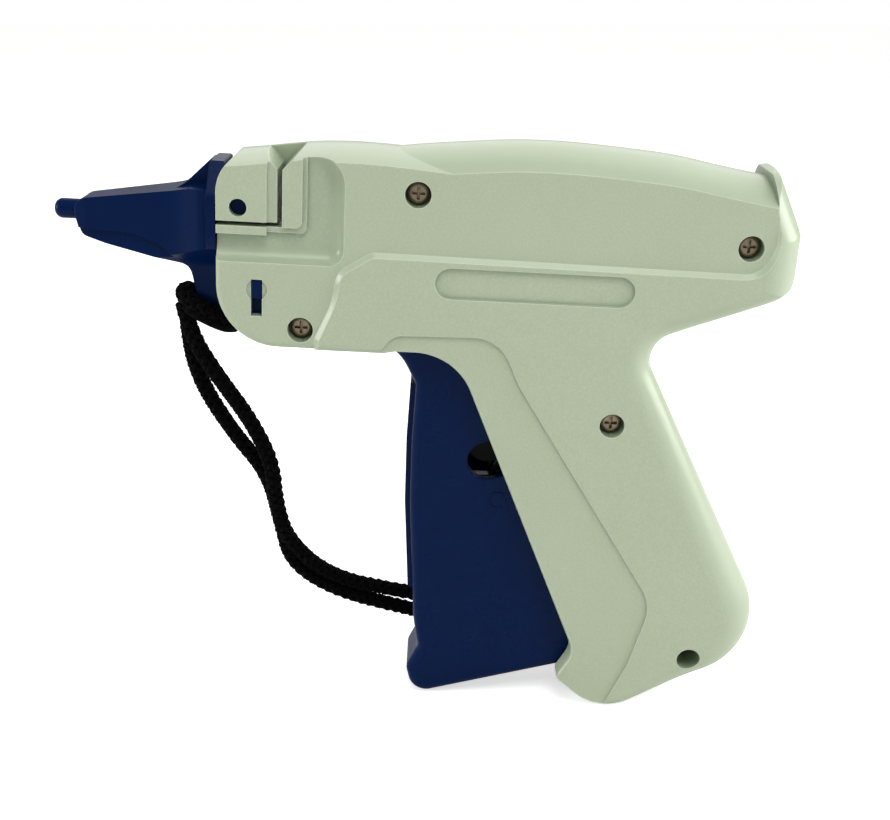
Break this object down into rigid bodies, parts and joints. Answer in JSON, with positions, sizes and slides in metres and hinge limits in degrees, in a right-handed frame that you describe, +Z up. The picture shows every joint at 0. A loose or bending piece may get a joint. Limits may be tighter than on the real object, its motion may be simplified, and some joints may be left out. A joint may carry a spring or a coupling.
{
  "type": "garment tag attacher",
  "caption": "Pistol-shaped garment tag attacher with a squeezed trigger, side feed slot, capped needle, thumb latch and braided cord.",
  "frame": {"origin": "centre of the bounding box at the table that it stands on", "axes": "+X from the nose to the rear, +Y to the gun's right side, +Z up"},
  "size_m": [0.1632, 0.0332, 0.1341],
  "materials": {
    "housing_plastic": "semi-gloss moulded",
    "blue_plastic": "gloss moulded",
    "steel": "ground",
    "screw_steel": "blackened",
    "spring_steel": "drawn",
    "inner_plastic": "natural",
    "cord": "braided"
  },
  "bodies": {
    "root": {"left_housing": "housing_plastic", "right_housing": "housing_plastic", "housing_screws": "screw_steel", "trigger_pivot_pin": "steel", "lever_pivot_pin": "steel", "feed_block": "inner_plastic", "return_spring": "spring_steel", "spring_pin": "steel", "needle": "steel", "needle_base": "blue_plastic", "feed_wheel_shaft": "steel", "pawl_pin": "steel", "pawl_spring": "spring_steel", "cutter_blade": "steel", "latch_spring": "spring_steel", "strap_front_strand": "cord", "strap_rear_strand": "cord", "strap_knot": "cord"},
    "trigger_group": {"trigger": "blue_plastic"},
    "lever_group": {"drive_lever": "inner_plastic", "head_pin": "steel", "link_pin": "steel"},
    "slider_group": {"slider": "inner_plastic", "push_rod": "steel"},
    "wheel_group": {"feed_wheel": "inner_plastic"},
    "pawl_group": {"feed_pawl": "inner_plastic"},
    "latch_group": {"needle_latch": "blue_plastic"},
    "cap_group": {"needle_cap": "blue_plastic", "strap_hitch": "cord"}
  },
  "joints": [
    {"name": "trigger_pull", "type": "hinge", "parent": "root", "child": "trigger_group", "pos_m": [0.0016, 0, 0.0967], "axis": [0, -1, 0], "range_deg": [0, 22], "stiffness_Nm_per_rad": 1.5, "springref_deg": -17.19},
    {"name": "lever_swing", "type": "hinge", "parent": "root", "child": "lever_group", "pos_m": [0.0264, 0, 0.06935], "axis": [0, -1, 0], "range_deg": [0, 53.2], "deforming": ["return_spring"]},
    {"name": "slider_slide", "type": "slide", "parent": "root", "child": "slider_group", "axis": [-0.9986, 0, 0.0523], "range_m": [0, 0.0421]},
    {"name": "feed_wheel_turn", "type": "hinge", "parent": "root", "child": "wheel_group", "pos_m": [-0.03047, 0.0039, 0.122], "axis": [0.9986, 0, -0.0523], "range_deg": [0, 45.1]},
    {"name": "pawl_rock", "type": "hinge", "parent": "root", "child": "pawl_group", "pos_m": [-0.03087, 0.0052, 0.11451], "axis": [0.9986, 0, -0.0523], "range_deg": [0, 8.1]},
    {"name": "latch_press", "type": "slide", "parent": "root", "child": "latch_group", "axis": [-0.0523, 0, -0.9986], "range_m": [0, 0.003], "stiffness_N_per_m": 150, "springref_m": -0.003, "deforming": ["latch_spring"]},
    {"name": "cap_pull", "type": "slide", "parent": "root", "child": "cap_group", "axis": [-0.9986, 0, 0.0523], "range_m": [0, 0.026], "deforming": ["strap_front_strand", "strap_rear_strand"]}
  ],
  "couplings": [
    {"joint": "lever_swing", "follows": "trigger_pull", "ratio": 2.415},
    {"joint": "slider_slide", "follows": "trigger_pull", "m_per_rad": 0.10938},
    {"joint": "feed_wheel_turn", "follows": "trigger_pull", "ratio": 2.0455},
    {"joint": "pawl_rock", "follows": "trigger_pull", "ratio": 0.36364}
  ]
}
